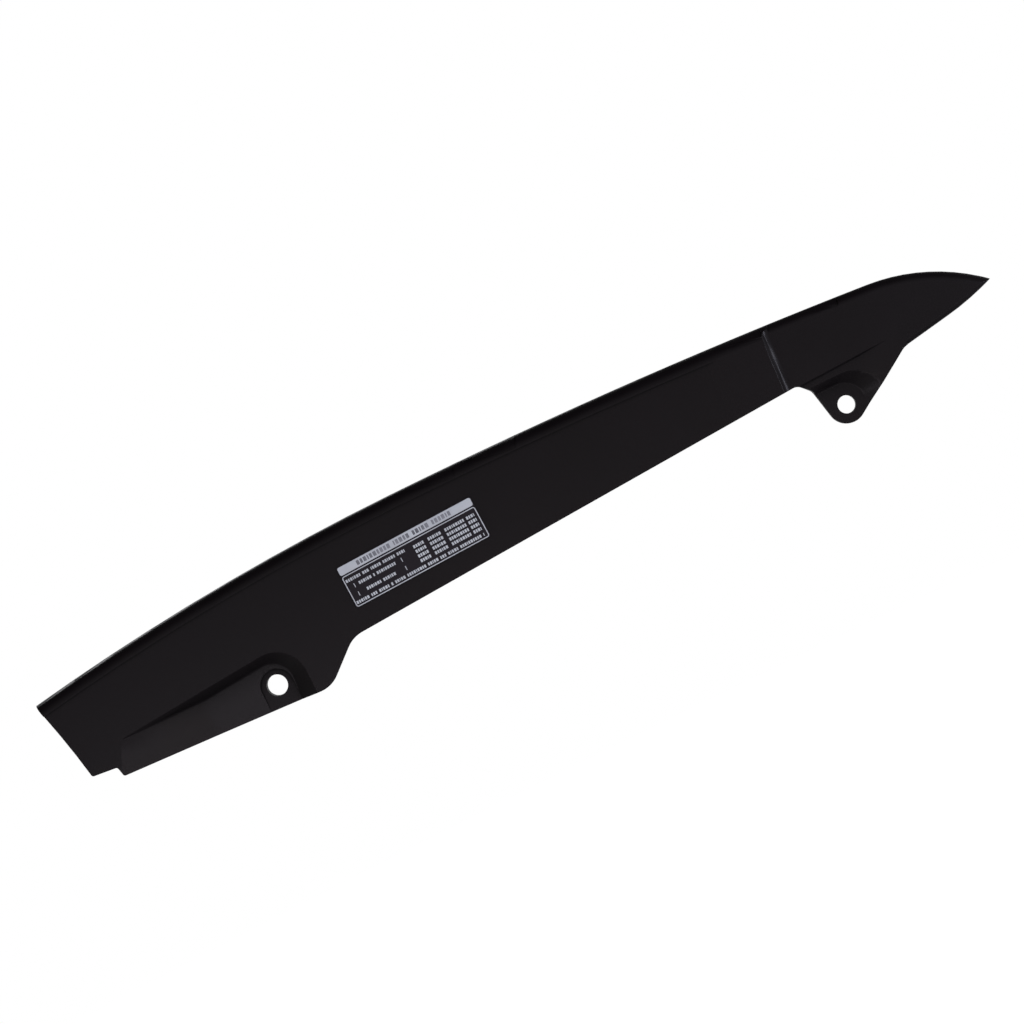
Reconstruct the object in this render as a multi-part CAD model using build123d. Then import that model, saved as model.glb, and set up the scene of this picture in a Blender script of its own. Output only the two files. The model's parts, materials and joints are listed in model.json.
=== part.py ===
from build123d import *
from math import acos, atan2, copysign, cos, degrees, isclose, radians, sin, tan
import os

# Chain guard for a small motorcycle, left side: one moulded shell and its information label.
# Millimetres. X runs rearwards from the front bolt hole to the rear one, Y inboard, Z up.
# The origin is the centre of the front bolt hole, on the seat that meets the swing arm.

# Bolt holes and seats
HOLE_SPACING = 304.0          # front bolt hole to rear bolt hole
FRONT_HOLE_D = 10.3
REAR_HOLE_D = 8.8
FRONT_GRIP = 6.6              # bolt head seat to swing arm seat at the front hole
FRONT_BOSS_R = 8.6
SPOT_FACE_R = 8.1             # flat seat for the bolt head, open downwards
SPOT_FACE_DEPTH = 0.6
REAR_TAB_R = 9.2              # round end of the rear tab, about its hole
REAR_TAB_WALL = 3.0

# Shell section
WALL = 2.7
TOP_WIDTH = 36.0              # outer face to the inner edge of the top
LIP_DEPTH = 8.0               # turned-down inner edge of the top
SHOULDER_R = 6.2              # round from the side plate into the top
SHOULDER_RUN = 5.0            # its change behind the side plate's step runs out over this length
FRONT_CORNER_R = 9.0          # inner front corner of the top, seen from above

# Top edge in side view
FRONT_REACH = 107.6           # front end of the top edge, ahead of the front hole
FRONT_TOP_Z = 42.2
CROWN_X = 88.0                # highest point of the top edge
CROWN_Z = 57.9
TAIL_START_X = 34.0           # where the top edge turns down, behind the rear hole
TAIL_START_Z = 47.0
TIP_X = 87.9                  # tail tip, behind the rear hole
TIP_Z = 23.7
TAIL_TIP_WIDTH = 13.0         # width of the top at the tail tip
TAIL_NARROWS_X = 12.0         # where the top starts to narrow, behind the rear hole

# Lower edge in side view, front to rear
FOOT_REACH = 97.7             # lower front corner, ahead of the front hole
FOOT_Z = -0.1
FRONT_BOW = 0.6               # bow of the front edge
FOOT_LENGTH = 12.6            # foot's lower edge, back to the small notch
FOOT_FALL = 1.3
NOTCH_SETBACK = 1.2           # notch's rear edge, down to the skirt
NOTCH_DROP = 5.1
SKIRT_REAR_X = 23.7           # rear corner of the skirt below the front recess
SKIRT_REAR_Z = -12.1
STEP_RUN = 19.3               # step up from the skirt to the long lower edge
STEP_RISE = 16.8
TAB_ROOT_X = 18.0             # end of the long lower edge, ahead of the rear hole
TAB_ROOT_Z = 18.3
TAB_SHOULDER_X = 12.0         # top of the tab's front edge, ahead of the rear hole
TAB_SHOULDER_DROP = 5.6
TAIL_CORNER_X = 36.0          # tab's rear edge meets the tail, behind the rear hole
TAIL_CORNER_Z = 12.4
TAIL_SWEEP_X = 62.0           # where the tail's lower edge starts to curve up
TAIL_SWEEP_Z = 16.7

# Corner radii in side view
SMALL_CORNER_R = 1.3
SKIRT_CORNER_R = 14.0
STEP_CORNER_R = 15.0
TAB_CORNER_R = 5.0
TAIL_CORNER_R = 8.0

# Recesses for the two bolts
DRAFT = 43.0                  # slope of the recess walls, degrees from square
FRONT_BACK_DRAFT = 54.0       # softer slope of the front recess's rear wall
REAR_BACK_DRAFT = 64.0        # softest slope, of the rear recess's rear wall
FRONT_RECESS_R = 16.4         # round corner of the front recess
FRONT_RECESS_BACK = 17.0      # its rear edge, behind the front hole
FRONT_RECESS_DEPTH = 6.0
FRONT_RECESS_SLOPE = 4.5      # its upper edge rises towards the rear, degrees
FRONT_FLOOR_R = 1.6           # round between its walls and floor
FLOOR_TILT = 3.0              # its floor leans downwards, degrees
RAMP_START_REACH = 87.0       # floor leaves the side plate, ahead of the front hole
RAMP_END_REACH = 34.0         # floor reaches its full depth
RAMP_R = 60.0                 # rounding of the ramp's two bends
REAR_RECESS_DROP = 2.9        # upper edge of the rear recess, below the tab's root
REAR_RECESS_BACK = 20.0       # its rear edge, behind the rear hole
REAR_RECESS_DEPTH = 5.0
REAR_FLOOR_R = 1.4

# Surface steps of the side plate
JOG_X = 25.3                  # step inboard, ahead of the rear hole
JOG_DEPTH = 1.6
JOG_FRONT_R = 0.8             # tight bend into the step
JOG_REAR_R = 6.0              # soft bend out of it
JOG_LEAN = 3.4                # degrees, its top leans rearwards
PANEL_BORDER = 6.6            # long sunk panel stays this far below the top edge
PANEL_DEPTH = 0.5
PANEL_END_X = 47.0            # soft rear end of the panel, ahead of the rear hole
PANEL_END_RUN = 6.0
CREASE_START_X = 19.0         # fine crease above the rear tab, ahead of the rear hole
CREASE_START_Z = 17.85
CREASE_END_X = 30.4           # where it fades out, behind the rear hole
CREASE_END_Z = 19.4
CREASE_DEPTH = 0.9
CREASE_FADE = 16.0            # length over which it fades out

# Rounded outer rim
RIM_LAND = 0.05               # square part of the panel's step above the plate's rounded rim
TAB_RIM_R = 0.5
TAIL_RIM_LAND = 0.3           # square part of the wall behind the tail's rounded lower rim
TAIL_RIM_START = 2.1          # where that rim starts, behind the tail's corner

# Information label
LABEL_LENGTH = 72.5
LABEL_HEIGHT = 21.6
LABEL_TILT = 2.1              # degrees, up towards the rear
LABEL_X = 86.8                # label centre
LABEL_Z = 28.2
LABEL_THICKNESS = 0.2
LABEL_CORNER_R = 0.9

# How far cutting shapes are carried on past the shell
ROOM = 40.0
OVERRUN = 4.0

# Points this close count as touching
TOUCH = 0.001

# Recess faces that lean less than this are floors, degrees
FLATTEST = 20.0

FACE_Y = -(FRONT_GRIP + SPOT_FACE_DEPTH + FRONT_RECESS_DEPTH)
TAIL_FACE_Y = FACE_Y + JOG_DEPTH
TOP_EDGE_Y = FACE_Y + TOP_WIDTH
FRONT_FLOOR_Y = FACE_Y + FRONT_RECESS_DEPTH
REAR_FLOOR_Y = TAIL_FACE_Y + REAR_RECESS_DEPTH
REAR_X = HOLE_SPACING
PANEL_Y = FACE_Y + PANEL_DEPTH
TIP = (REAR_X + TIP_X, TIP_Z)
FRONT_TOP = (-FRONT_REACH, FRONT_TOP_Z)
FAR_FRONT = (-FRONT_REACH - ROOM, FACE_Y)
FAR_REAR = (TIP[0] + ROOM, TAIL_FACE_Y)
LOW_Z = SKIRT_REAR_Z - ROOM
HIGH_Z = CROWN_Z + ROOM


def side_prism(shape, y_from, y_to):
    """Extrude a side-view shape, drawn in X and Z, across the guard."""
    return extrude(Pos(0, y_from, 0) * (Plane.XZ * shape), y_to - y_from, dir=(0, 1, 0))


def plan_prism(shape, lean_x=0.0, lean_y=0.0):
    """Extrude a shape drawn in X and Y at Z = 0 through the full height, leaning by two angles."""
    slant = Vector(tan(radians(lean_x)), tan(radians(lean_y)), 1)
    rise = HIGH_Z - LOW_Z
    base = Pos(slant * LOW_Z) * shape
    return extrude(base, rise * slant.length, dir=slant)


def past_end(arc):
    """Point on an arc's circle that lies some way past its end."""
    spoke = arc @ 1 - arc.arc_center
    side = copysign(1, spoke.cross(arc % 1).Z)
    return arc.arc_center + spoke.rotate(Axis.Z, degrees(side * ROOM / arc.radius))


def longer_tangent_arc(start, end, tangent):
    """Arc that leaves start along tangent, passes through end and carries on."""
    return TangentArc(start, past_end(TangentArc(start, end, tangent=tangent)), tangent=tangent)


def under_top_edge():
    """Side-view region below the top edge, carried on past both ends."""
    crown = (CROWN_X, CROWN_Z)
    front = longer_tangent_arc(crown, FRONT_TOP, (-1, 0))
    back = TangentArc(crown, (REAR_X + TAIL_START_X, TAIL_START_Z), tangent=(1, 0))
    tail = longer_tangent_arc(back @ 1, TIP, back % 1)
    front_end = front @ 1
    tail_end = tail @ 1
    below = Polyline(front_end, (front_end.X, LOW_Z), (tail_end.X, LOW_Z), tail_end)
    return make_face(front + back + tail + below)


def touch_point(start, centre, radius, side):
    """Point where a line from start touches a circle; side is +1 or -1."""
    reach = Vector(*start) - Vector(*centre)
    angle = atan2(reach.Y, reach.X) + side * acos(radius / reach.length)
    return (centre[0] + radius * cos(angle), centre[1] + radius * sin(angle))


def tail_lower_edge():
    """Lower edge of the tail in side view, from its corner, straight and then curving up past the tip."""
    sweep = (REAR_X + TAIL_SWEEP_X, TAIL_SWEEP_Z)
    straight = Line((REAR_X + TAIL_CORNER_X, TAIL_CORNER_Z), sweep)
    return straight, longer_tangent_arc(sweep, TIP, straight % 1)


def above_lower_edge():
    """Side-view region behind the front edge and above the lower edge."""
    hole = (REAR_X, 0)
    foot = (-FOOT_REACH, FOOT_Z)
    notch = (foot[0] + FOOT_LENGTH, foot[1] - FOOT_FALL)
    skirt_front = (notch[0] + NOTCH_SETBACK, notch[1] - NOTCH_DROP)
    skirt_rear = (SKIRT_REAR_X, SKIRT_REAR_Z)
    step = (SKIRT_REAR_X + STEP_RUN, SKIRT_REAR_Z + STEP_RISE)
    root = (REAR_X - TAB_ROOT_X, TAB_ROOT_Z)
    shoulder = (REAR_X - TAB_SHOULDER_X, TAB_ROOT_Z - TAB_SHOULDER_DROP)
    tail_low, tail_curve = tail_lower_edge()
    corner = tuple(tail_low @ 0)[:2]

    front_end = past_end(SagittaArc(foot, FRONT_TOP, -FRONT_BOW))
    tab_in = touch_point(shoulder, hole, REAR_TAB_R, 1)
    tab_out = touch_point(corner, hole, REAR_TAB_R, -1)
    tab_low = (REAR_X, -REAR_TAB_R)
    tail_end = tail_curve @ 1
    edges = ThreePointArc(foot, FRONT_TOP, front_end) + tail_low + tail_curve
    edges += Polyline(foot, notch, skirt_front, skirt_rear, step, root, shoulder, tab_in)
    edges += ThreePointArc(tab_in, tab_low, tab_out) + Line(tab_out, corner)
    edges += Polyline(front_end, (front_end.X, HIGH_Z), (tail_end.X, HIGH_Z), tail_end)
    region = make_face(edges)
    rounds = [
        (SMALL_CORNER_R, (foot, notch, skirt_front)),
        (SKIRT_CORNER_R, (skirt_rear,)),
        (STEP_CORNER_R, (step,)),
        (TAB_CORNER_R, (root, shoulder)),
        (TAIL_CORNER_R, (corner,)),
    ]
    for radius, corners in rounds:
        for point in corners:
            region = fillet(region.vertices().sort_by_distance((*point, 0))[0], radius)
    return region


def step_path():
    """Outer face of the side plate seen from above, from its front to the end of its step inboard."""
    turn = acos(1 - JOG_DEPTH / (JOG_FRONT_R + JOG_REAR_R))
    start = Vector(REAR_X - JOG_X - TAB_ROOT_Z * tan(radians(JOG_LEAN)), FACE_Y)
    middle = start + Vector(sin(turn), 1 - cos(turn)) * JOG_FRONT_R
    settled = middle + Vector(sin(turn), 1 - cos(turn)) * JOG_REAR_R
    bends = TangentArc(start, middle, tangent=(1, 0)) + TangentArc(settled, middle, tangent=(-1, 0))
    return Line(FAR_FRONT, start) + bends, settled


def outer_path():
    """Outer face of the side plate seen from above: straight, then a step inboard."""
    path, settled = step_path()
    return path + Line(settled, FAR_REAR)


def plan_ahead():
    """The guard ahead of its step, seen from above; its shoulder runs out slantwise behind the step."""
    path, settled = step_path()
    run_out = settled + Vector(SHOULDER_RUN, SHOULDER_R)
    edges = path + Polyline(
        settled, run_out, (run_out.X, TOP_EDGE_Y), (FAR_FRONT[0], TOP_EDGE_Y), FAR_FRONT,
    )
    return make_face(edges)


def plan_of_top():
    """The top seen from above, carried on past both ends: full width, narrowing to the tail."""
    narrows = (REAR_X + TAIL_NARROWS_X, TOP_EDGE_Y)
    tail_edge_y = TAIL_FACE_Y + TAIL_TIP_WIDTH
    taper = TangentArc(narrows, (TIP[0], tail_edge_y), tangent=(1, 0))
    edges = outer_path() + taper
    edges += Polyline(FAR_FRONT, (FAR_FRONT[0], TOP_EDGE_Y), narrows)
    edges += Polyline(taper @ 1, (FAR_REAR[0], tail_edge_y), FAR_REAR)
    return make_face(edges)


def plan_inboard():
    """Everything inboard of the side plate's outer face, seen from above."""
    inner_y = TOP_EDGE_Y + ROOM
    edges = outer_path()
    edges += Polyline(FAR_FRONT, (FAR_FRONT[0], inner_y), (FAR_REAR[0], inner_y), FAR_REAR)
    return make_face(edges)


def rounded_canopy(region, y_outer, y_inner, radius):
    """Block below the top edge whose outer upper edge is rounded."""
    block = side_prism(region, y_outer, y_inner)
    outer_face = block.faces().filter_by(Axis.Y).sort_by(Axis.Y)[0]
    level_edges = outer_face.edges().filter_by(Axis.Z, reverse=True).sort_by(Axis.Z)
    return fillet(level_edges[1:], radius)


def recess_region(back_x, radius, slope, length):
    """Side view of a bolt recess: rear edge, round corner and upper edge, open below and in front."""
    rise = Line((back_x, LOW_Z), (back_x, 0))
    corner = CenterArc((back_x - radius, 0), radius, 0, 90 + slope)
    upper = Line(corner @ 1, corner @ 1 + (corner % 1) * length)
    front = Polyline(upper @ 1, ((upper @ 1).X, LOW_Z), (back_x, LOW_Z))
    return make_face(rise + corner + upper + front)


def drafted_block(back_x, back_draft, radius, slope, length, face_y, y_from, y_to, wall):
    """Recess region carried inboard with sloping walls and set out by a wall; sized at face_y."""
    sections = []
    for y in (y_from, y_to):
        back_set = wall / cos(radians(back_draft)) - (y - face_y) * tan(radians(back_draft))
        side_set = wall / cos(radians(DRAFT)) - (y - face_y) * tan(radians(DRAFT))
        region = recess_region(back_x + back_set, radius + side_set, slope, length)
        sections.append(Pos(0, y, 0) * (Plane.XZ * region))
    return loft(sections, ruled=True)


def ramp_plan():
    """Floor of the front recess from above: it slopes in from the side plate, then runs flat."""
    outer_y = FACE_Y - ROOM
    start = (-RAMP_START_REACH, FACE_Y)
    end = (-RAMP_END_REACH, FRONT_FLOOR_Y)
    far = (FRONT_RECESS_R + ROOM, FRONT_FLOOR_Y)
    before = (-RAMP_START_REACH - ROOM - OVERRUN, FACE_Y)
    floor = FilletPolyline(before, start, end, far, radius=RAMP_R)
    edges = floor + Polyline(far, (far[0], outer_y), (before[0], outer_y), before)
    return make_face(edges)


def rounded_floor(block, radius):
    """Round the edges where a recess block's sloping walls meet its floor."""
    floors = block.faces().filter_by(lambda face: face.normal_at().Y > cos(radians(FLATTEST)))
    walls = block.faces().filter_by(lambda face: TOUCH < face.normal_at().Y < cos(radians(FLATTEST)))
    floor_edges = floors.edges()
    return fillet([edge for edge in walls.edges() if edge in floor_edges], radius)


def front_recess(wall, y_from):
    """Front bolt recess; the same form set out by a wall gives the material behind it."""
    block = drafted_block(
        FRONT_RECESS_BACK, FRONT_BACK_DRAFT, FRONT_RECESS_R, FRONT_RECESS_SLOPE, RAMP_START_REACH + ROOM,
        FACE_Y, y_from, FRONT_FLOOR_Y + wall + OVERRUN, wall,
    )
    plan = ramp_plan()
    if wall:
        plan = offset(plan, wall)
    return block & plan_prism(plan, lean_y=-FLOOR_TILT)


def rear_recess(wall, y_from):
    """Recess in the rear tab, made like the front one but with a flat floor."""
    return drafted_block(
        REAR_X + REAR_RECESS_BACK, REAR_BACK_DRAFT, TAB_ROOT_Z - REAR_RECESS_DROP, 0, JOG_X,
        TAIL_FACE_Y, y_from, REAR_FLOOR_Y + wall, wall,
    )


def sunk_panel():
    """Shallow panel along the side plate, with a crisp upper edge and a soft rear end."""
    region = offset(under_top_edge(), -PANEL_BORDER)
    end = REAR_X - PANEL_END_X
    outer_y = FACE_Y - OVERRUN
    plan = make_face(Polyline(
        (FAR_FRONT[0], outer_y), (FAR_FRONT[0], PANEL_Y), (end - PANEL_END_RUN, PANEL_Y),
        (end, FACE_Y), (end, outer_y), close=True,
    ))
    return side_prism(region, outer_y, PANEL_Y) & plan_prism(plan)


def crease():
    """Fine step above the rear tab, with a wall sloping at 45 degrees, that fades out towards the tail."""
    start = Vector(REAR_X - CREASE_START_X, CREASE_START_Z)
    end = Vector(REAR_X + CREASE_END_X, CREASE_END_Z)
    outer_y = TAIL_FACE_Y - OVERRUN
    inner_y = TAIL_FACE_Y + CREASE_DEPTH
    below = make_face(Polyline(start, end, (end.X, LOW_Z), (start.X, LOW_Z), close=True))
    slanted = extrude(Pos(0, TAIL_FACE_Y, 0) * (Plane.XZ * below), CREASE_DEPTH * 2**0.5, dir=(0, 1, -1))
    wedge = make_face(Polyline(
        (start.X, outer_y), (start.X, inner_y), (end.X - CREASE_FADE, inner_y), (end.X, TAIL_FACE_Y),
        (end.X, outer_y), close=True,
    ))
    return slanted & plan_prism(wedge)


def rounded_tail():
    """Room for the whole guard, but with a rounded outer rim along the lower edge of the tail."""
    straight, curve = tail_lower_edge()
    start = straight @ (TAIL_RIM_START / straight.length)
    end = curve @ 1
    edges = Line(start, straight @ 1) + curve
    edges += Polyline(end, (end.X, HIGH_Z), (start.X, HIGH_Z), start)
    tail = side_prism(make_face(edges), TAIL_FACE_Y, TOP_EDGE_Y + ROOM)
    sweep = straight @ 1
    outer_edges = tail.edges().filter_by(Axis.Y, reverse=True)
    rim = outer_edges.sort_by_distance((sweep.X, TAIL_FACE_Y, sweep.Y))[:2]
    tail = fillet(rim, WALL - TAIL_RIM_LAND)
    front = make_face(Polyline(
        (start.X, LOW_Z), (start.X, HIGH_Z), (FAR_FRONT[0], HIGH_Z), (FAR_FRONT[0], LOW_Z), close=True,
    ))
    return tail + side_prism(front, FACE_Y - OVERRUN, TOP_EDGE_Y + ROOM)


def spot_face():
    """Flat seat for the front bolt's head, round above and open below."""
    legs = Polyline((SPOT_FACE_R, 0), (SPOT_FACE_R, LOW_Z), (-SPOT_FACE_R, LOW_Z), (-SPOT_FACE_R, 0))
    region = make_face(legs + CenterArc((0, 0), SPOT_FACE_R, 0, 180))
    return side_prism(region, FACE_Y, FRONT_FLOOR_Y + SPOT_FACE_DEPTH)


def post(x, radius, y_from, y_to):
    """Round bar across the guard, for a boss or a bore."""
    return side_prism(Pos(x, 0) * Circle(radius), y_from, y_to)


def front_corner_trim():
    """Corner of the top at its front inner end, outside the round."""
    block = Rectangle(FRONT_CORNER_R, FRONT_CORNER_R, align=Align.MIN)
    quarter = block - Pos(FRONT_CORNER_R, 0) * Circle(FRONT_CORNER_R)
    return plan_prism(Pos(-FRONT_REACH, TOP_EDGE_Y - FRONT_CORNER_R) * quarter)


def rounded_rim(body, y, radius):
    """Round the shell's outer rim where it lies at y."""
    outline = (Plane.XZ * above_lower_edge()).wires()[0]

    def on_rim(edge):
        point = edge @ 0.5
        off_outline = outline.distance_to(Vertex(point.X, 0, point.Z))
        return isclose(point.Y, y, abs_tol=TOUCH) and off_outline < TOUCH

    return fillet(body.edges().filter_by(on_rim), radius)


def chain_guard():
    """The moulded shell: side plate, rounded shoulder, top with a turned-down lip, bolt recesses."""
    region = under_top_edge()
    skirt = side_prism(above_lower_edge(), FACE_Y - ROOM, TOP_EDGE_Y + ROOM)
    top_plan = plan_of_top()

    ahead = rounded_canopy(region, FACE_Y, TOP_EDGE_Y, SHOULDER_R)
    behind = rounded_canopy(region, TAIL_FACE_Y, TOP_EDGE_Y, SHOULDER_R - JOG_DEPTH)
    body = (behind & plan_prism(top_plan, JOG_LEAN)) + (ahead & plan_prism(plan_ahead(), JOG_LEAN))
    hollow = rounded_canopy(offset(region, -WALL), FACE_Y + WALL, TOP_EDGE_Y, SHOULDER_R - WALL)
    body -= hollow & plan_prism(offset(top_plan, -WALL), JOG_LEAN)
    below_lip = side_prism(offset(region, -LIP_DEPTH), FACE_Y, TOP_EDGE_Y + OVERRUN)
    body -= below_lip & plan_prism(offset(plan_inboard(), -WALL), JOG_LEAN)
    body -= front_corner_trim()

    body += front_recess(WALL, FACE_Y + WALL / 2)
    body += rear_recess(REAR_TAB_WALL, TAIL_FACE_Y + WALL / 2)
    body += post(0, FRONT_BOSS_R, FRONT_FLOOR_Y, 0)
    body = body & skirt & rounded_tail()

    body -= sunk_panel()
    body -= rounded_floor(rear_recess(0, TAIL_FACE_Y - OVERRUN), REAR_FLOOR_R)
    body = rounded_rim(body, PANEL_Y, PANEL_DEPTH - RIM_LAND)
    body = rounded_rim(body, REAR_FLOOR_Y, TAB_RIM_R)

    body -= rounded_floor(front_recess(0, FACE_Y - OVERRUN), FRONT_FLOOR_R)
    body -= crease()
    body -= spot_face()
    body -= post(0, FRONT_HOLE_D / 2, FACE_Y, ROOM)
    return body - post(REAR_X, REAR_HOLE_D / 2, FACE_Y, ROOM)


def information_label():
    """Self-adhesive film on the sunk panel."""
    film = Pos(LABEL_X, LABEL_Z) * Rot(0, 0, LABEL_TILT) * RectangleRounded(
        LABEL_LENGTH, LABEL_HEIGHT, LABEL_CORNER_R
    )
    return side_prism(film, PANEL_Y - LABEL_THICKNESS, PANEL_Y)


os.makedirs("parts", exist_ok=True)
export_step(chain_guard(), "parts/chain_guard.step")
export_step(information_label(), "parts/information_label.step")
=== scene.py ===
# %% [markdown]
# # A motorcycle chain guard in the studio
# The object is the long black cover that keeps a rider's clothes off the upper run of a small motorcycle's
# drive chain. It is one plastic moulding, with an information label stuck to its side.
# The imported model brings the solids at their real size, in metres: the front bolt hole is the origin, +X runs
# rearwards, +Y inboard and +Z up. This lesson adds what solids can't say: a camera, light, the moulded
# surface, the film of the label and the print on it.

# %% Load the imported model
import json
import math

import bmesh
import bpy
from mathutils import Matrix, Vector


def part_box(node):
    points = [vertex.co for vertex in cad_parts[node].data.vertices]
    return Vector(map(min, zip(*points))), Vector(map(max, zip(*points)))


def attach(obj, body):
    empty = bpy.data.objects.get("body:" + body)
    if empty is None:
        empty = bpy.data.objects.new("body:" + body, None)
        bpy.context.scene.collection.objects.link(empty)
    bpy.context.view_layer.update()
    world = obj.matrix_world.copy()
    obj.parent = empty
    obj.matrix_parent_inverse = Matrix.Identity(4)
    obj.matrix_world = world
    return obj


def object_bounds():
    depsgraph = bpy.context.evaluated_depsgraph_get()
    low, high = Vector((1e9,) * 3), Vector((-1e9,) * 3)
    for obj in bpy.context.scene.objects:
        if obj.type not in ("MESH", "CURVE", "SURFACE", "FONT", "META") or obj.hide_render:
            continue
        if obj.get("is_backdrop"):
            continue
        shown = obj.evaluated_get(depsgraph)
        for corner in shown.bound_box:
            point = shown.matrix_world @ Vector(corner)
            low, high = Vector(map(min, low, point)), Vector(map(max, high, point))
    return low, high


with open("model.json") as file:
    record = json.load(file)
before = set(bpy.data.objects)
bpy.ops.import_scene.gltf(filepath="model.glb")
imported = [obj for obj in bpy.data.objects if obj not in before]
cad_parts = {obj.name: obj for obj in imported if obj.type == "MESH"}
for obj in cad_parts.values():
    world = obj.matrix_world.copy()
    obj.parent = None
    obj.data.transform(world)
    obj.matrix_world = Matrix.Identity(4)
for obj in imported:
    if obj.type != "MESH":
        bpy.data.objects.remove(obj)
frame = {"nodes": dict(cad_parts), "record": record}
cad_low, cad_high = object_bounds()
middle = (cad_low + cad_high) / 2
scene = bpy.context.scene
scene.view_settings.view_transform = "Standard"
size_in_mm = [round(side * 1000, 1) for side in cad_high - cad_low]
print("solids:", sorted(frame["nodes"]), "size in mm:", size_in_mm)

# %% [markdown]
# ## The camera
# The guard is seen square on to its outer side, with the picture turned so that the line through its two
# bolt holes climbs to the right. A camera could be nudged by hand until the view fits, but two known points
# give it at once: the bolt holes' places are in the record, and their pixels are in the picture. The line
# between them gives the turn, and its length gives the size of a pixel, halfway between the outer face and
# the bolts' seats. Only the distance is a choice, and it sets how strongly the near side looms: the lens then
# follows from the distance and the pixel.

# %% Place the camera
PICTURE_SIDE = 1024
FRONT_HOLE_PIXEL = Vector((277.3, 685.2))
REAR_HOLE_PIXEL = Vector((846.7, 404.2))
VIEW_DISTANCE = 1.2
SENSOR_WIDTH = 36.0

mounts = {mount["name"]: Vector(mount["pos_m"]) for mount in frame["record"]["mounts"]}
hole_spacing = mounts["rear_bolt_hole"].x - mounts["front_bolt_hole"].x
pixel_run = REAR_HOLE_PIXEL - FRONT_HOLE_PIXEL
pixel_size = hole_spacing / pixel_run.length
turn = math.atan2(-pixel_run.y, pixel_run.x)

picture_right = Vector((math.cos(turn), 0, -math.sin(turn)))
picture_up = Vector((math.sin(turn), 0, math.cos(turn)))
to_centre = Vector((PICTURE_SIDE / 2, PICTURE_SIDE / 2)) - FRONT_HOLE_PIXEL
aim = (picture_right * to_centre.x - picture_up * to_centre.y) * pixel_size
aim.y = (cad_low.y + mounts["front_bolt_hole"].y) / 2

lens = bpy.data.cameras.new("camera")
lens.sensor_width = SENSOR_WIDTH
lens.lens = SENSOR_WIDTH * VIEW_DISTANCE / (pixel_size * PICTURE_SIDE)
camera = bpy.data.objects.new("camera", lens)
scene.collection.objects.link(camera)
toward_camera = Vector((0, -1, 0))
axes = Matrix((picture_right, picture_up, toward_camera)).transposed()
camera.matrix_world = Matrix.Translation(aim + toward_camera * VIEW_DISTANCE) @ axes.to_4x4()
scene.camera = camera
print("turn", round(math.degrees(turn), 2), "degrees, pixel", round(pixel_size * 1000, 4), "mm")

# %% [markdown]
# ## Node helpers
# Every finish below is a small graph of nodes, and so is every repair of a mesh. Written out in full, each
# node takes a line to make, a line for each setting and a line for each wire. One helper does all three: an
# input is given either a plain value or another node's output, and it is set or wired as needed.

# %% Define the node helpers
def put(tree, kind, inputs=None, **settings):
    """Adds a node to a tree and sets or wires its inputs."""
    node = tree.nodes.new(kind)
    for name, value in settings.items():
        setattr(node, name, value)
    for name, value in (inputs or {}).items():
        if isinstance(value, bpy.types.NodeSocket):
            tree.links.new(value, node.inputs[name])
        else:
            node.inputs[name].default_value = value
    return node


def math_node(tree, operation, first, second=0.0, clamp=False):
    """One sum on two numbers, as an output socket."""
    node = put(tree, "ShaderNodeMath", {0: first, 1: second}, operation=operation, use_clamp=clamp)
    return node.outputs[0]


def vector_math(tree, operation, first, second=(0, 0, 0)):
    """One sum on two vectors, as the node's outputs."""
    return put(tree, "ShaderNodeVectorMath", {0: first, 1: second}, operation=operation).outputs


def remap(tree, value, low, high, to_low=0.0, to_high=1.0):
    """Stretches a range of values onto another, held at both ends."""
    inputs = {"Value": value, "From Min": low, "From Max": high, "To Min": to_low, "To Max": to_high}
    return put(tree, "ShaderNodeMapRange", inputs).outputs["Result"]


def mix_colour(tree, factor, first, second):
    """Blends two colours, as an output socket. The node's inputs 6 and 7 and output 2 are colours."""
    inputs = {"Factor": factor, 6: first, 7: second}
    return put(tree, "ShaderNodeMix", inputs, data_type="RGBA").outputs[2]


def grey(level):
    """An opaque grey of that level."""
    return (level, level, level, 1.0)


def seen_directly(tree):
    """One for rays that show a surface as itself: from the camera, by reflection or through glass."""
    path = put(tree, "ShaderNodeLightPath").outputs
    direct = math_node(tree, "ADD", path["Is Camera Ray"], path["Is Glossy Ray"], clamp=True)
    return math_node(tree, "ADD", direct, path["Is Transmission Ray"], clamp=True)


print("node helpers ready")

# %% [markdown]
# ## The room
# A black part needs a room that is white to look at and yet doesn't flood it with light. A white wall behind
# the part would hide it from the other side, so the white is in the world itself: rays that come straight
# from the camera, or bounce off gloss, see white, and the rest see a dimmer fill. The ceiling is darker, as
# it is above a product table, and that keeps the guard's rounded shoulder darker than its side.

# %% Make the world
FILL_LEVEL = 0.35
CEILING_LEVEL = 0.2
CEILING_STARTS = math.sin(math.radians(24))
CEILING_ENDS = math.sin(math.radians(50))

world = bpy.data.worlds.new("studio")
world.use_nodes = True
scene.world = world
room = world.node_tree
room.nodes.clear()
direction = put(room, "ShaderNodeTexCoord").outputs["Generated"]
height = put(room, "ShaderNodeSeparateXYZ", {"Vector": direction}).outputs["Z"]
ceiling = remap(room, height, CEILING_STARTS, CEILING_ENDS, 1.0, CEILING_LEVEL)
fill = math_node(room, "MULTIPLY", ceiling, FILL_LEVEL)
fill_light = put(room, "ShaderNodeBackground", {"Color": grey(1.0), "Strength": fill}).outputs[0]
white_room = put(room, "ShaderNodeBackground", {"Color": grey(1.0), "Strength": ceiling}).outputs[0]
mixed = put(room, "ShaderNodeMixShader", {0: seen_directly(room), 1: fill_light, 2: white_room}).outputs[0]
put(room, "ShaderNodeOutputWorld", {"Surface": mixed})
print("world: white to look at, fill of", FILL_LEVEL)

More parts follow.
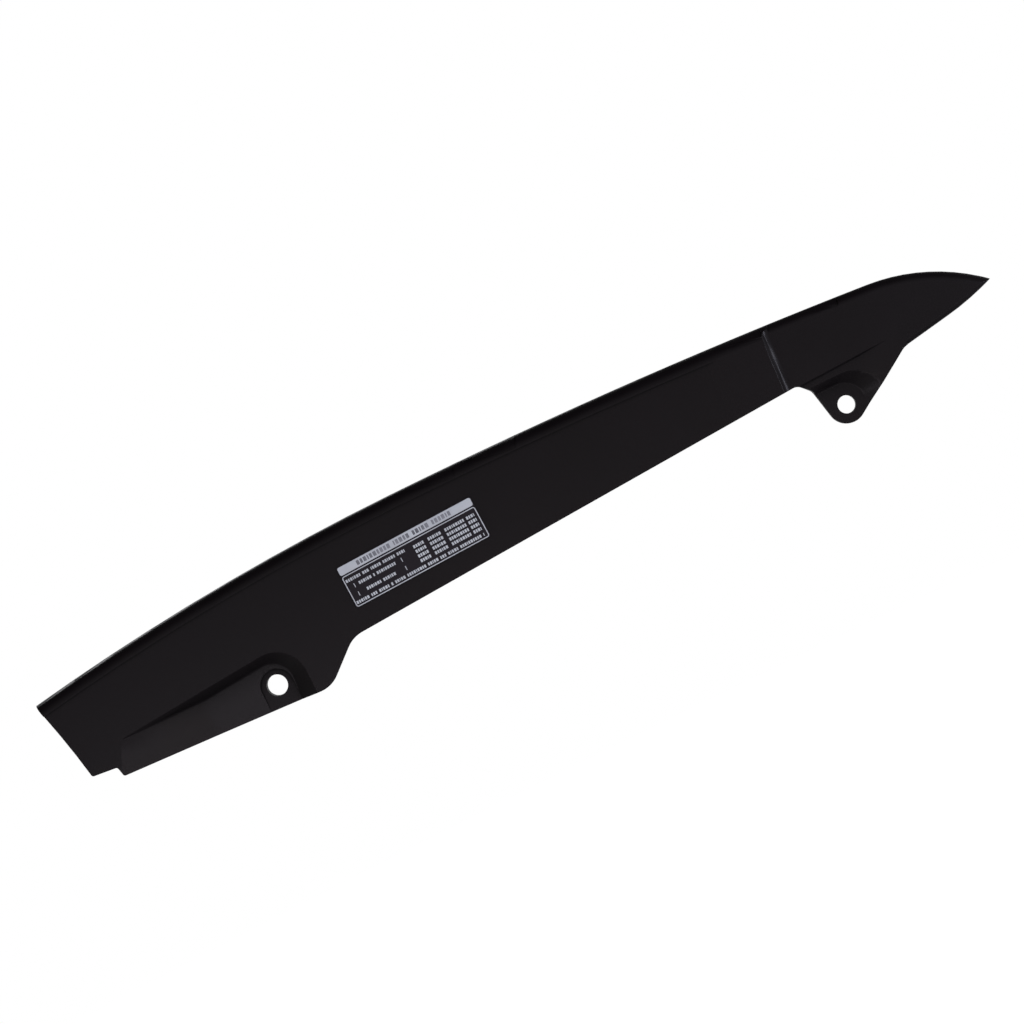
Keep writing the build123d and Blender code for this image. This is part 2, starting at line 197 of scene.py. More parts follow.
# %% [markdown]
# ## The floor
# The guard is made to hang on a swing arm, so nothing rests on the floor. The floor lies well below and is
# there for its soft bounce and for the faint shadow in views from above. It is a disc of matt white that also
# glows a little for the camera: just enough that the lit floor comes out pale and the shadow stays. Further
# out the glow is stronger, so that the rim melts into the room.

# %% Make the floor
FLOOR_DROP = 0.7
FLOOR_RADIUS = 6.0
FLOOR_COLOUR = grey(0.82)
SHADED_RADIUS = 0.5
GLOW_RADIUS = 1.3
NEAR_GLOW = 0.2
RIM_SEGMENTS = 96


def new_material(name):
    """A material and its tree, still empty."""
    material = bpy.data.materials.new(name)
    material.use_nodes = True
    material.node_tree.nodes.clear()
    return material, material.node_tree


floor_mesh = bpy.data.meshes.new("floor")
disc = bmesh.new()
bmesh.ops.create_circle(disc, cap_ends=True, segments=RIM_SEGMENTS, radius=FLOOR_RADIUS)
disc.to_mesh(floor_mesh)
disc.free()
floor = bpy.data.objects.new("floor", floor_mesh)
floor.location = (middle.x, middle.y, cad_low.z - FLOOR_DROP)
scene.collection.objects.link(floor)
floor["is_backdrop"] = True

floor_white, tree = new_material("floor_white")
place = put(tree, "ShaderNodeTexCoord").outputs["Object"]
reach = vector_math(tree, "LENGTH", place)["Value"]
glow = remap(tree, reach, SHADED_RADIUS, GLOW_RADIUS, NEAR_GLOW, 1.0)
shown_glow = math_node(tree, "MULTIPLY", glow, seen_directly(tree))
matt = put(tree, "ShaderNodeBsdfDiffuse", {"Color": FLOOR_COLOUR}).outputs[0]
white = put(tree, "ShaderNodeEmission", {"Color": grey(1.0), "Strength": shown_glow}).outputs[0]
surface = put(tree, "ShaderNodeAddShader", {0: matt, 1: white}).outputs[0]
put(tree, "ShaderNodeOutputMaterial", {"Surface": surface})
floor_mesh.materials.append(floor_white)
print("floor at z =", round(floor.location.z, 3))

# %% [markdown]
# ## The lamps
# On the real part the side is a soft even dark, and whatever leans up or down is darker still: the rounded
# shoulder and the upper wall of the front recess. A black gloss surface shows the lamp that it mirrors, so
# two long low strips in front of the part light the side from end to end and leave those leaning faces dark.
# What faces the tail is lighter: the step across the side, the ramp of the recess, the rim of the tail. A
# smaller lamp beyond the tail picks these out, and a broad one behind the part lights its back. Each lamp is
# given by its direction from the guard, its distance and its size in metres, and its power in watts.

# %% Hang the softboxes
def softbox(name, direction, distance, size, power, colour):
    """A lamp of some width and height that looks at the middle of the guard from one direction."""
    lamp = bpy.data.lights.new(name, "AREA")
    lamp.shape = "RECTANGLE"
    lamp.size, lamp.size_y = size
    lamp.energy = power
    lamp.color = colour
    holder = bpy.data.objects.new(name, lamp)
    away = Vector(direction).normalized()
    holder.location = middle + away * distance
    holder.rotation_euler = away.to_track_quat("Z", "Y").to_euler()
    scene.collection.objects.link(holder)
    print(name, "at", [round(c, 2) for c in holder.location])


WARM_WHITE = (1.0, 0.88, 0.89)
COOL_WHITE = (0.84, 0.85, 1.0)
SOFT_WHITE = (0.97, 0.97, 1.0)
PINK_WHITE = (0.97, 0.9, 1.0)
softbox("front_strip", (-0.44, -1.0, -0.17), 1.37, (0.9, 0.15), 5.0, PINK_WHITE)
softbox("rear_strip", (0.1, -1.0, -0.17), 1.31, (0.55, 0.15), 2.2, WARM_WHITE)
softbox("tail_softbox", (0.95, -0.8, -0.05), 1.25, (0.26, 0.3), 12.0, COOL_WHITE)
softbox("back_softbox", (-0.35, 0.9, 0.6), 1.6, (1.4, 0.8), 11.0, SOFT_WHITE)

# %% [markdown]
# ## A true round for the shoulder
# The long round from the side into the top is a slice of a ring: one radius, carried along the arc of the top
# edge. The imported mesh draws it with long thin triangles, and where the arc begins two of them cut across it.
# The mesh itself must stay as it is, so a modifier does the repair: its graph divides all the triangles once,
# so that the mesh stays closed, and moves the new points of the round out onto the ring. The ring follows
# from the part's own sizes, in millimetres. A point belongs to the ring if it lies between the arc's start
# and the step across the side, in the outer quarter of the round and near its surface.

# %% Draw the shoulder as a ring
MM = 0.001
WELD_DISTANCE = 1e-7
SHOULDER_R = 6.2 * MM
CROWN_X, CROWN_Z = 88.0 * MM, 57.9 * MM
ARC_END_X, ARC_END_Z = hole_spacing + 34.0 * MM, 47.0 * MM
ROUND_ENDS_X = 274.5 * MM
SHALLOWEST, DEEPEST = 6.4 * MM, 4.6 * MM
RING_MARGIN = 0.1 * MM
DIVISIONS = 1


def geometry_group(name):
    """An empty geometry graph, and the mesh that comes into it."""
    group = bpy.data.node_groups.new(name, "GeometryNodeTree")
    for way in ("INPUT", "OUTPUT"):
        group.interface.new_socket("Geometry", in_out=way, socket_type="NodeSocketGeometry")
    return group, put(group, "NodeGroupInput").outputs[0]


def over(tree, value, limit):
    """True where a value is over a limit."""
    return put(tree, "FunctionNodeCompare", {0: value, 1: limit}, operation="GREATER_THAN").outputs[0]


def weld(tree, mesh):
    """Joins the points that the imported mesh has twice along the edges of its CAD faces."""
    return put(tree, "GeometryNodeMergeByDistance", {"Geometry": mesh, "Distance": WELD_DISTANCE}).outputs[0]


run, fall = ARC_END_X - CROWN_X, CROWN_Z - ARC_END_Z
arc_radius = (run**2 + fall**2) / (2 * fall)
spine_radius = arc_radius - SHOULDER_R
ring_centre = Vector((CROWN_X, cad_low.y + SHOULDER_R, CROWN_Z - arc_radius))


def shoulder_ring(tree):
    """The nearest point of the ring, the direction it faces there, and whether a point belongs to it."""
    position = put(tree, "GeometryNodeInputPosition").outputs[0]
    spoke = vector_math(tree, "SUBTRACT", position, ring_centre)[0]
    outward = vector_math(tree, "NORMALIZE", vector_math(tree, "MULTIPLY", spoke, (1, 0, 1))[0])[0]
    spine_spoke = vector_math(tree, "MULTIPLY", outward, (spine_radius,) * 3)[0]
    from_spine = vector_math(tree, "SUBTRACT", spoke, spine_spoke)[0]
    faces = vector_math(tree, "NORMALIZE", from_spine)[0]
    on_spine = vector_math(tree, "ADD", spine_spoke, ring_centre)[0]
    offset = vector_math(tree, "MULTIPLY", faces, (SHOULDER_R,) * 3)[0]
    on_ring = vector_math(tree, "ADD", on_spine, offset)[0]
    along = put(tree, "ShaderNodeSeparateXYZ", {0: position}).outputs["X"]
    depth = vector_math(tree, "LENGTH", from_spine)["Value"]
    inward = put(tree, "ShaderNodeSeparateXYZ", {0: from_spine}).outputs["Y"]
    raised = vector_math(tree, "DOT_PRODUCT", from_spine, outward)["Value"]
    belongs = over(tree, along, CROWN_X)
    for more, less in (
        (ROUND_ENDS_X, along),
        (depth, DEEPEST),
        (SHALLOWEST, depth),
        (RING_MARGIN, inward),
        (raised, -RING_MARGIN),
    ):
        belongs = math_node(tree, "MULTIPLY", belongs, over(tree, more, less))
    return on_ring, faces, belongs


rounding, raw = geometry_group("True shoulder")
on_ring, _, in_round = shoulder_ring(rounding)
divided_inputs = {"Mesh": weld(rounding, raw), "Level": DIVISIONS}
divided = put(rounding, "GeometryNodeSubdivideMesh", divided_inputs).outputs[0]
moved_inputs = {"Geometry": divided, "Selection": in_round, "Position": on_ring}
moved = put(rounding, "GeometryNodeSetPosition", moved_inputs).outputs[0]
put(rounding, "NodeGroupOutput", {0: moved})
frame["nodes"]["chain_guard"].modifiers.new("true_shoulder", "NODES").node_group = rounding
print("ring of", round(arc_radius, 3), "m along the top edge")

# %% [markdown]
# ## Shading the solids
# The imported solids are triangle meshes, cut along the edges of their CAD faces. Shaded as they come, the long
# rounds show their facets, and the large flat side looks dented wherever a round runs into it. The meshes
# themselves must stay as they are, so the repair is a stack of modifiers. The first graph joins the cut
# edges, shades every face smooth and keeps only real corners sharp. The flat side's own edges count as
# corners sooner than the edges between the facets of a round.

# %% Join and smooth the faces
ROUND_CORNER = math.radians(41)
FLAT_CORNER = math.radians(30)
SQUARE_TO_SIDE = 0.99999
ONE_OF_TWO_FACES = 0.5


def per(tree, domain, value):
    """A number worked out once for each face, edge or point."""
    return put(tree, "GeometryNodeFieldOnDomain", {"Value": value}, domain=domain).outputs[0]


def facing_side(tree, true_normal):
    """How squarely each face looks along Y, which of the two ways, and whether it is flat on it."""
    along_y = put(tree, "ShaderNodeSeparateXYZ", {0: true_normal}).outputs["Y"]
    facing = per(tree, "FACE", math_node(tree, "ABSOLUTE", along_y))
    way = per(tree, "FACE", math_node(tree, "SIGN", along_y))
    return facing, way, per(tree, "FACE", over(tree, facing, SQUARE_TO_SIDE))


shading, raw = geometry_group("Moulded shading")
smooth_inputs = {"Geometry": weld(shading, raw), "Shade Smooth": True}
smooth = put(shading, "GeometryNodeSetShadeSmooth", smooth_inputs).outputs[0]
edge_angle = put(shading, "GeometryNodeInputMeshEdgeAngle").outputs["Unsigned Angle"]
flat_face = facing_side(shading, put(shading, "GeometryNodeInputNormal").outputs["True Normal"])[2]
beside_flat = per(shading, "EDGE", flat_face)
limit = remap(shading, beside_flat, 0.0, ONE_OF_TWO_FACES, ROUND_CORNER, FLAT_CORNER)
sharp_inputs = {"Geometry": smooth, "Selection": over(shading, edge_angle, limit), "Shade Smooth": False}
sharp = put(shading, "GeometryNodeSetShadeSmooth", sharp_inputs, domain="EDGE").outputs[0]
put(shading, "NodeGroupOutput", {0: sharp})
print("graph:", shading.name, "with", len(shading.nodes), "nodes")

# %% [markdown]
# ## Keeping the side flat
# Weighted Normal lets the larger of two faces decide how their common edge is shaded. That is nearly right,
# but a gloss shows a lean of one degree. The second graph settles it: where a face runs smoothly into one
# that is square to the side, their common points take the side's own direction. A face that leans further
# keeps more of its own, so that a wall which flattens out along its length goes from a crisp to a soft edge.
# The points of the shoulder's round take their direction from the ring itself.

# %% Flatten the side and dress both solids
CRISP_LEAN = math.cos(math.radians(46))
SOFT_LEAN = math.cos(math.radians(22))


def mix_vector(tree, factor, first, second):
    """Blends two directions, as an output socket. The node's inputs 4 and 5 and output 1 are vectors."""
    inputs = {"Factor": factor, 4: first, 5: second}
    return put(tree, "ShaderNodeMix", inputs, data_type="VECTOR").outputs[1]


flattening, raw = geometry_group("Flat sides")
normals = put(flattening, "GeometryNodeInputNormal").outputs
facing, way, flat_face = facing_side(flattening, normals["True Normal"])
beside_flat = over(flattening, per(flattening, "POINT", flat_face), 0.0)
softness = remap(flattening, facing, CRISP_LEAN, SOFT_LEAN)
share = math_node(flattening, "MULTIPLY", beside_flat, softness)
square = put(flattening, "ShaderNodeCombineXYZ", {"Y": way}).outputs[0]
flattened = mix_vector(flattening, share, normals["Normal"], square)
_, ring_faces, in_round = shoulder_ring(flattening)
not_flat = math_node(flattening, "SUBTRACT", 1.0, flat_face)
of_ring = math_node(flattening, "MULTIPLY", in_round, not_flat)
chosen = mix_vector(flattening, of_ring, flattened, ring_faces)
directed_inputs = {"Mesh": raw, "Custom Normal": chosen}
directed = put(flattening, "GeometryNodeSetMeshNormal", directed_inputs, mode="FREE", domain="CORNER")
put(flattening, "NodeGroupOutput", {0: directed.outputs[0]})

for name, solid in frame["nodes"].items():
    solid.modifiers.new("moulded_shading", "NODES").node_group = shading
    solid.modifiers.new("large_faces_first", "WEIGHTED_NORMAL").keep_sharp = True
    solid.modifiers.new("flat_sides", "NODES").node_group = flattening
    print(name, "shaded,", len(solid.data.polygons), "triangles")

# %% [markdown]
# ## Effects that several finishes share
# A mould leaves a fine grain on plastic, and hands leave faint marks on anything. The film and its inks show
# both too. Each effect is a node group, built once: it puts out masks and heights, and each material decides
# what to do with them. A painted texture would need an unwrapped mesh, while noise in the object's own space
# needs none and has the same grain size all over.

# %% Build the grain and marks groups
def effect_group(name, inputs, outputs):
    """An empty shader group with number sockets, and its two ends."""
    group = bpy.data.node_groups.new(name, "ShaderNodeTree")
    for label, value in inputs.items():
        group.interface.new_socket(label, in_out="INPUT", socket_type="NodeSocketFloat").default_value = value
    for label in outputs:
        group.interface.new_socket(label, in_out="OUTPUT", socket_type="NodeSocketFloat")
    return group, put(group, "NodeGroupInput").outputs, put(group, "NodeGroupOutput")


def noise(tree, vector, scale, detail=2.0, roughness=0.5):
    """Noise between 0 and 1 at a scale, as an output socket."""
    inputs = {"Vector": vector, "Scale": scale, "Detail": detail, "Roughness": roughness}
    return put(tree, "ShaderNodeTexNoise", inputs).outputs["Fac"]


def use_group(tree, group, **inputs):
    """Places a group in a material, with its own values."""
    node = put(tree, "ShaderNodeGroup", node_tree=group)
    for name, value in inputs.items():
        node.inputs[name.replace("_", " ")].default_value = value
    return node.outputs


BLOTCH_RATIO = 0.012
BLOTCH_RANGE = (0.3, 0.7)
STREAK_STRETCH = 28.0
STREAK_RANGE = (0.6, 0.78)
PATCH_RATIO = 0.6
PATCH_RANGE = (0.42, 0.62)
MARK_TILT = math.radians(12)

grain, ends, out = effect_group("Moulded grain", {"Grain Size": 0.0004}, ("Height", "Blotch"))
place = put(grain, "ShaderNodeTexCoord").outputs["Object"]
fineness = math_node(grain, "DIVIDE", 1.0, ends["Grain Size"])
broad = math_node(grain, "MULTIPLY", fineness, BLOTCH_RATIO)
grain.links.new(noise(grain, place, fineness, detail=3.0, roughness=0.6), out.inputs["Height"])
blotch = remap(grain, noise(grain, place, broad, detail=4.0), *BLOTCH_RANGE)
grain.links.new(blotch, out.inputs["Blotch"])

marks, ends, out = effect_group("Handling marks", {"Amount": 0.5, "Length": 0.02}, ("Mask",))
place = put(marks, "ShaderNodeTexCoord").outputs["Object"]
stretch = (1, STREAK_STRETCH, STREAK_STRETCH)
turned_inputs = {"Vector": place, "Rotation": (0, MARK_TILT, 0), "Scale": stretch}
turned = put(marks, "ShaderNodeMapping", turned_inputs).outputs[0]
per_length = math_node(marks, "DIVIDE", 1.0, ends["Length"])
fine_noise = noise(marks, turned, per_length, detail=5.0, roughness=0.65)
streaks = remap(marks, fine_noise, *STREAK_RANGE)
patch_noise = noise(marks, place, math_node(marks, "MULTIPLY", per_length, PATCH_RATIO))
patches = remap(marks, patch_noise, *PATCH_RANGE)
marked = math_node(marks, "MULTIPLY", streaks, patches)
marks.links.new(math_node(marks, "MULTIPLY", marked, ends["Amount"]), out.inputs["Mask"])
print("groups:", grain.name, "and", marks.name)

# %% [markdown]
# ## Edge wear
# The edges of a moulding catch knocks, and their grain is polished away first, so they look a shade lighter.
# Pointiness would find edges from the vertices, but a CAD mesh has few of those. The Bevel node looks around
# each point instead: where the rounded normal leans away from the true one, there is an edge.

# %% Build the edge wear group
LEAN_RANGE = (0.985, 0.8)
WORN_RANGE = (0.35, 0.65)
LEAST_WORN = 0.25

edge_wear, ends, out = effect_group("Edge wear", {"Width": 0.0006, "Break Up": 90.0}, ("Mask",))
rounded = put(edge_wear, "ShaderNodeBevel", {"Radius": ends["Width"]}, samples=6).outputs["Normal"]
true_normal = put(edge_wear, "ShaderNodeNewGeometry").outputs["Normal"]
agreement = vector_math(edge_wear, "DOT_PRODUCT", rounded, true_normal)["Value"]
lean = remap(edge_wear, agreement, *LEAN_RANGE)
place = put(edge_wear, "ShaderNodeTexCoord").outputs["Object"]
break_up = noise(edge_wear, place, ends["Break Up"], detail=3.0)
patchy = remap(edge_wear, break_up, *WORN_RANGE, LEAST_WORN, 1.0)
edge_wear.links.new(math_node(edge_wear, "MULTIPLY", lean, patchy), out.inputs["Mask"])
print("group:", edge_wear.name)

# %% [markdown]
# ## Painted corner shade
# Inner corners, fine creases and the walls of recesses get painted shade: their colour is darkened there,
# and these are the dark lines that draw the form of a black part. The Ambient Occlusion node finds them by how
# much of the open half of space each point still sees within a short reach.

# %% Build the painted corner shade group
OPEN_RANGE = (0.98, 0.78)

# Painted shade: this mask marks inner corners, creases and recess walls, where the guard's colour is darkened.
corner_shade_group, ends, out = effect_group("Painted corner shade", {"Reach": 0.004}, ("Mask",))
open_view = put(corner_shade_group, "ShaderNodeAmbientOcclusion", {"Distance": ends["Reach"]}, samples=8)
corner_shade_group.links.new(remap(corner_shade_group, open_view.outputs["AO"], *OPEN_RANGE), out.inputs["Mask"])
print("group:", corner_shade_group.name)

# %% [markdown]
# ## The moulding
# The guard is polypropylene with carbon black, from a finely eroded mould: nearly black, satin, with a grain
# under half a millimetre. Black plastic shows its form by its gloss more than by its colour, so the colour
# is very dark and the gloss is broad and weak, with a thin glossier skin on top. Grain goes to the bump,
# blotches and marks to the roughness, and worn edges to the colour. Inner corners and recess walls get
# painted shade: a darker colour, and no glossy skin.

# %% Give the guard its plastic
def relief(tree, height, strength, depth):
    """A bump of some depth in millimetres, as a normal."""
    inputs = {"Strength": strength, "Distance": depth * MM, "Height": height}
    return put(tree, "ShaderNodeBump", inputs).outputs[0]


def finish_with(tree, inputs):
    """Gives a material one Principled shader with those inputs."""
    shader = put(tree, "ShaderNodeBsdfPrincipled", inputs)
    put(tree, "ShaderNodeOutputMaterial", {"Surface": shader.outputs["BSDF"]})


PLASTIC_DARK = (0.0020, 0.0013, 0.0017, 1.0)
PLASTIC_LIGHT = (0.0030, 0.0021, 0.0026, 1.0)
PLASTIC_WORN = (0.016, 0.014, 0.016, 1.0)
# The colour of painted shade in inner corners and recess walls.
PLASTIC_PAINTED_SHADE = (0.0005, 0.0004, 0.0005, 1.0)
PLASTIC_SHEEN = 0.035
SKIN_GLOSS = 0.055
SKIN_ROUGHNESS = 0.24
EDGE_WEAR = 0.15
PLASTIC_ROUGHNESS = (0.43, 0.51)
MARKS_POLISH = 0.12

satin_black, tree = new_material("satin_black_moulding")
surface_grain = use_group(tree, grain, Grain_Size=0.0004)
surface_marks = use_group(tree, marks, Amount=0.6, Length=0.03)
surface_edges = use_group(tree, edge_wear, Width=0.0007, Break_Up=110.0)
# The corners group gives the mask of painted shade.
corners = use_group(tree, corner_shade_group, Reach=0.012)
tone = mix_colour(tree, surface_grain["Blotch"], PLASTIC_DARK, PLASTIC_LIGHT)
worn = math_node(tree, "MULTIPLY", surface_edges["Mask"], EDGE_WEAR)
colour = mix_colour(tree, worn, tone, PLASTIC_WORN)
# Painted shade: the colour darkens in inner corners and recess walls, and the glossy skin is taken off there.
shaded_colour = mix_colour(tree, corners["Mask"], colour, PLASTIC_PAINTED_SHADE)
gloss = remap(tree, corners["Mask"], 0.0, 1.0, SKIN_GLOSS, 0.0)
satin = remap(tree, surface_grain["Blotch"], 0.0, 1.0, *PLASTIC_ROUGHNESS)
polish = math_node(tree, "MULTIPLY", surface_marks["Mask"], MARKS_POLISH)
finish_with(tree, {
    "Base Color": shaded_colour,
    "Roughness": math_node(tree, "SUBTRACT", satin, polish),
    "Normal": relief(tree, surface_grain["Height"], strength=0.2, depth=0.06),
    "Specular IOR Level": PLASTIC_SHEEN,
    "Coat Weight": gloss,
    "Coat Roughness": SKIN_ROUGHNESS,
})
frame["nodes"]["chain_guard"].material_slots[0].material = satin_black
print("guard finish:", satin_black.name)

# %% [markdown]
# ## The label film
# The label is a dark self-adhesive film, a little glossier than the moulding and with no grain of its own,
# only the faint orange peel of a film pressed onto a textured wall.

# %% Give the label its film
FILM_DARK = (0.0060, 0.0048, 0.0066, 1.0)
FILM_LIGHT = (0.0085, 0.0070, 0.0092, 1.0)
FILM_GLOSS = 0.06
FILM_ROUGHNESS = (0.34, 0.42)
MARKS_SCUFF = 0.15

dark_film, tree = new_material("dark_label_film")
film_grain = use_group(tree, grain, Grain_Size=0.0009)
film_marks = use_group(tree, marks, Amount=0.7, Length=0.012)
film_colour = mix_colour(tree, film_grain["Blotch"], FILM_DARK, FILM_LIGHT)
film_satin = remap(tree, film_grain["Blotch"], 0.0, 1.0, *FILM_ROUGHNESS)
scuff = math_node(tree, "MULTIPLY", film_marks["Mask"], MARKS_SCUFF)
finish_with(tree, {
    "Base Color": film_colour,
    "Roughness": math_node(tree, "ADD", film_satin, scuff),
    "Normal": relief(tree, film_grain["Height"], strength=0.12, depth=0.05),
    "Specular IOR Level": FILM_GLOSS,
})
frame["nodes"]["information_label"].material_slots[0].material = dark_film
print("label finish:", dark_film.name)

# %% [markdown]
# ## The print: its inks
# The label is screen printed with a silver ink, and the header's marks are a dark ink printed over it. Ink on
# a part that is handled and hosed down thins unevenly, so both vary in tone.

# %% Mix the inks
SILVER_PALE = (0.38, 0.41, 0.43, 1.0)
SILVER_DULL = (0.28, 0.30, 0.32, 1.0)
INK_DARK = (0.030, 0.032, 0.040, 1.0)
INK_FADED = (0.20, 0.21, 0.23, 1.0)
INK_ROUGHNESS = (0.38, 0.55)


def ink(name, fresh, faded, gloss):
    """A printed ink that fades in blotches and is rubbed by handling."""
    material, tree = new_material(name)
    film_wear = use_group(tree, grain, Grain_Size=0.0002)
    rubbed = use_group(tree, marks, Amount=0.5, Length=0.01)
    finish_with(tree, {
        "Base Color": mix_colour(tree, film_wear["Blotch"], fresh, faded),
        "Roughness": remap(tree, rubbed["Mask"], 0.0, 1.0, *INK_ROUGHNESS),
        "Normal": relief(tree, film_wear["Height"], strength=0.1, depth=0.03),
        "Specular IOR Level": gloss,
    })
    print("ink:", name)
    return material


silver_ink = ink("silver_ink", SILVER_PALE, SILVER_DULL, gloss=0.3)
dark_ink = ink("dark_ink", INK_DARK, INK_FADED, gloss=0.2)

# %% [markdown]
# ## The print: its layout
# The label has a silver header bar, a thin border below it, rows of small print at the left and a block of
# short columns at the right. Each letter is a plain block: from a step away the rows still read as print.
# Blocks could be drawn by the film's material, but as thin plates they stay crisp at any distance and come
# along with the mesh. Sizes are in millimetres on the label, from its lower left corner.

# %% Set up the label's own plane
LABEL_TILT = math.radians(2.1)
PRINT_THICKNESS = 0.02

label_low, label_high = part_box("information_label")
box_length, box_height = label_high.x - label_low.x, label_high.z - label_low.z
spread = math.cos(LABEL_TILT) ** 2 - math.sin(LABEL_TILT) ** 2
label_length = (box_length * math.cos(LABEL_TILT) - box_height * math.sin(LABEL_TILT)) / spread / MM
label_height = (box_height * math.cos(LABEL_TILT) - box_length * math.sin(LABEL_TILT)) / spread / MM

along = Vector((math.cos(LABEL_TILT), 0, math.sin(LABEL_TILT)))
upward = Vector((-math.sin(LABEL_TILT), 0, math.cos(LABEL_TILT)))
outward = Vector((0, -1, 0))
label_centre = (label_low + label_high) / 2
label_corner = Vector((label_centre.x, label_low.y, label_centre.z))
label_corner -= (along * label_length + upward * label_height) * MM / 2
label_plane = Matrix.Translation(label_corner) @ Matrix((along, upward, outward)).transposed().to_4x4()
label_plane = label_plane @ Matrix.Scale(MM, 4)
print("label", round(label_length, 1), "by", round(label_height, 1), "mm")

# %% Define how print is laid down
CORNER_STEPS = 5


def rounded_outline(left, bottom, right, top, radius):
    """The points of a rectangle with rounded corners, anticlockwise."""
    points = []
    corners = ((right - radius, top - radius, 0), (left + radius, top - radius, 90),
               (left + radius, bottom + radius, 180), (right - radius, bottom + radius, 270))
    for x, y, start in corners:
        for step in range(CORNER_STEPS + 1):
            angle = math.radians(start + 90 * step / CORNER_STEPS)
            points.append((x + radius * math.cos(angle), y + radius * math.sin(angle)))
    return points


def lay_plate(mesh, outline, base):
    """Adds a thin closed plate of ink with that outline."""
    lower = [mesh.verts.new((x, y, base)) for x, y in outline]
    upper = [mesh.verts.new((x, y, base + PRINT_THICKNESS)) for x, y in outline]
    mesh.faces.new(upper)
    mesh.faces.new(lower[::-1])
    for i in range(len(outline)):
        j = (i + 1) % len(outline)
        mesh.faces.new((lower[i], lower[j], upper[j], upper[i]))


def lay_ring(mesh, outer, inner, base):
    """Adds a thin closed ring of ink between two outlines with as many points each."""
    top = base + PRINT_THICKNESS
    rings = [[mesh.verts.new((x, y, z)) for x, y in line] for line in (outer, inner) for z in (base, top)]
    outer_low, outer_high, inner_low, inner_high = rings
    for i in range(len(outer)):
        j = (i + 1) % len(outer)
        mesh.faces.new((outer_high[i], outer_high[j], inner_high[j], inner_high[i]))
        mesh.faces.new((outer_low[j], outer_low[i], inner_low[i], inner_low[j]))
        mesh.faces.new((outer_low[i], outer_low[j], outer_high[j], outer_high[i]))
        mesh.faces.new((inner_low[j], inner_low[i], inner_high[i], inner_high[j]))


def print_piece(name, plates, material):
    """Makes one printed piece on the label from a bmesh in the label's plane."""
    mesh = bpy.data.meshes.new(name)
    plates.transform(label_plane)
    plates.to_mesh(mesh)
    plates.free()
    mesh.materials.append(material)
    piece = bpy.data.objects.new(name, mesh)
    scene.collection.objects.link(piece)
    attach(piece, "root")
    print(name, len(mesh.polygons), "faces")
    return piece


# %% Print the header bar and the border
PRINT_MARGIN = 0.35
HEADER_HEIGHT = 4.1
HEADER_ROUND = 0.9
HEADER_GAP = 0.75
BORDER_LINE = 0.42
BORDER_ROUND = 1.1

print_left = PRINT_MARGIN
print_right = label_length - PRINT_MARGIN
print_top = label_height - PRINT_MARGIN
header_bottom = print_top - HEADER_HEIGHT
border_top = header_bottom - HEADER_GAP

header = bmesh.new()
lay_plate(header, rounded_outline(print_left, header_bottom, print_right, print_top, HEADER_ROUND), 0.0)
print_piece("label_header", header, silver_ink)

border = bmesh.new()
outer = rounded_outline(print_left, PRINT_MARGIN, print_right, border_top, BORDER_ROUND)
inner = rounded_outline(print_left + BORDER_LINE, PRINT_MARGIN + BORDER_LINE,
                        print_right - BORDER_LINE, border_top - BORDER_LINE, BORDER_ROUND - BORDER_LINE)
lay_ring(border, outer, inner, 0.0)
print_piece("label_border", border, silver_ink)

# %% [markdown]
# ## The print: its rows
# A row is words, and a word is blocks of slightly different widths, like letters. One function walks along a
# row and lays blocks until it reaches the end. Each row of small print is given by its drop below the top of
# the border, its start, its end and the lengths of its words. Two of the rows have upright ticks.

# %% Print the rows of blocks
BLOCK_WIDTHS = (0.62, 0.5, 0.66, 0.3, 0.58, 0.7, 0.46)
BLOCK_GAP = 0.24
BLOCK_ROUND = 0.08
WORD_GAP = 0.62


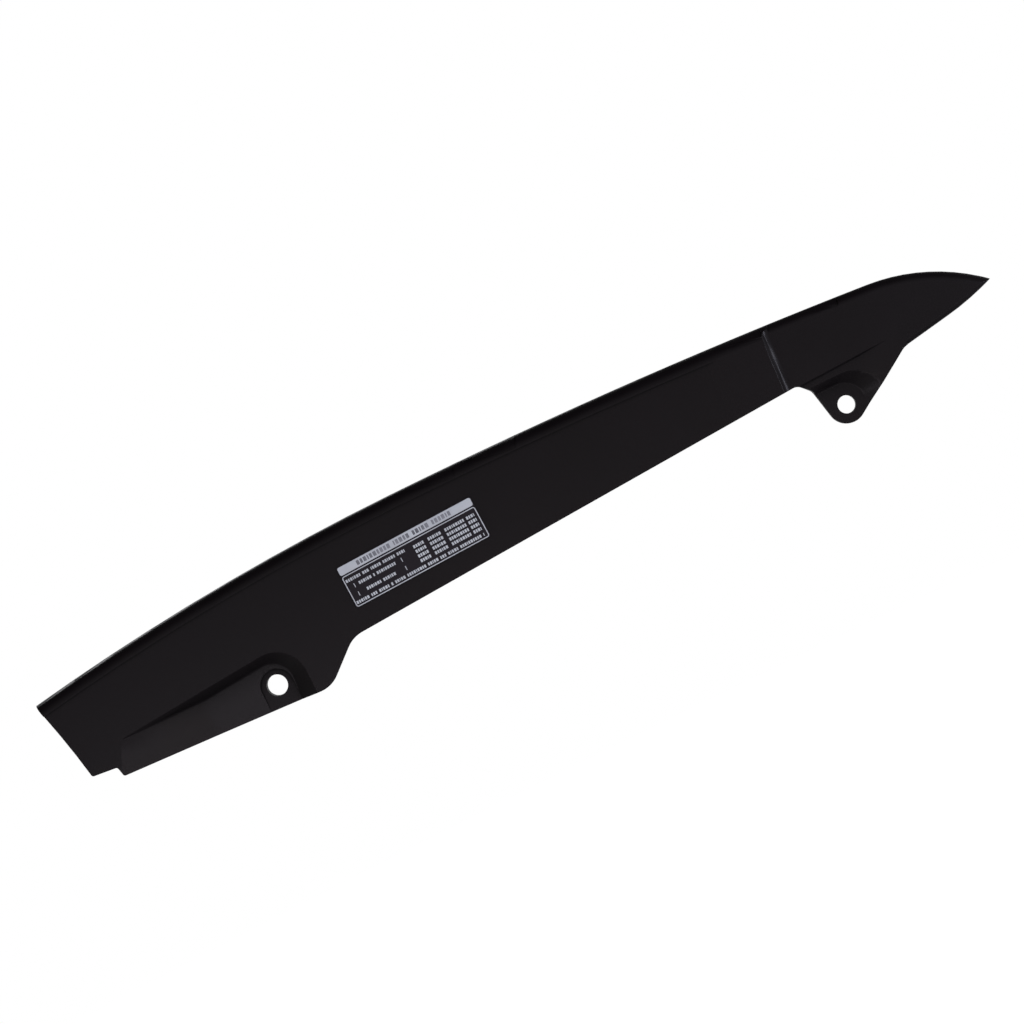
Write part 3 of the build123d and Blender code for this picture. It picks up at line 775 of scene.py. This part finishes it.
def lay_row(mesh, start, end, centre, letter_height, word_lengths, base=0.0):
    """Lays blocks from start to end in words of the given lengths, each size a share of the letter height."""
    x, letter, word, count = start, 0, 0, 0
    while True:
        width = BLOCK_WIDTHS[letter % len(BLOCK_WIDTHS)] * letter_height
        if x + width > end:
            return
        low = centre - letter_height / 2
        lay_plate(mesh, rounded_outline(x, low, x + width, low + letter_height, BLOCK_ROUND), base)
        x += width + BLOCK_GAP * letter_height
        letter += 1
        count += 1
        if count == word_lengths[word % len(word_lengths)]:
            x += WORD_GAP * letter_height
            word += 1
            count = 0


HEADER_LETTER = 2.3
HEADER_WORDS = (10, 5, 5)
HEADER_ROW = (10.0, 62.6)
LETTER = 1.45
TICK_WIDTH = 0.35
TICK_HEIGHT = 2.1
TICKS = (3.7, 29.2)
LEFT_ROWS = ((2.7, 1.0, 32.6, (7, 3, 5, 6)), (6.0, 6.2, 26.5, (6, 1, 10)), (10.3, 8.3, 24.4, (7, 6)))
TICKED_ROWS = (6.1, 10.5)
LAST_ROW = (14.0, 0.9, 70.6, (6, 3, 5, 1, 5, 9, 5, 3, 5, 10))
COLUMNS = ((37.1, 42.6), (44.9, 51.8), (54.0, 64.4), (65.7, 70.2))
COLUMN_ROWS = (3.4, 5.9, 8.4, 10.9)
COLUMN_LETTER = 1.5
COLUMN_WORDS = (20,)

header_marks = bmesh.new()
header_middle = (header_bottom + print_top) / 2
lay_row(header_marks, *HEADER_ROW, header_middle, HEADER_LETTER, HEADER_WORDS, base=PRINT_THICKNESS)
print_piece("label_header_marks", header_marks, dark_ink)

rows = bmesh.new()
for drop, start, end, words in LEFT_ROWS + (LAST_ROW,):
    lay_row(rows, print_left + start, print_left + end, border_top - drop, LETTER, words)
for drop in TICKED_ROWS:
    for tick in TICKS:
        left, low = print_left + tick, border_top - drop - TICK_HEIGHT / 2
        lay_plate(rows, rounded_outline(left, low, left + TICK_WIDTH, low + TICK_HEIGHT, BLOCK_ROUND), 0.0)
for drop in COLUMN_ROWS:
    for start, end in COLUMNS:
        lay_row(rows, print_left + start, print_left + end, border_top - drop, COLUMN_LETTER, COLUMN_WORDS)
print_piece("label_rows", rows, silver_ink)

# %% [markdown]
# ## The last measure
# Looks never change the size of a part. The box of everything that shows is compared with the box of the
# solids, and the largest change is printed.

# %% Print the largest change of the box
look_low, look_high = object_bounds()
change = max((look_low - cad_low).length, (look_high - cad_high).length)
print("largest change of the box in mm:", round(change * 1000, 4))
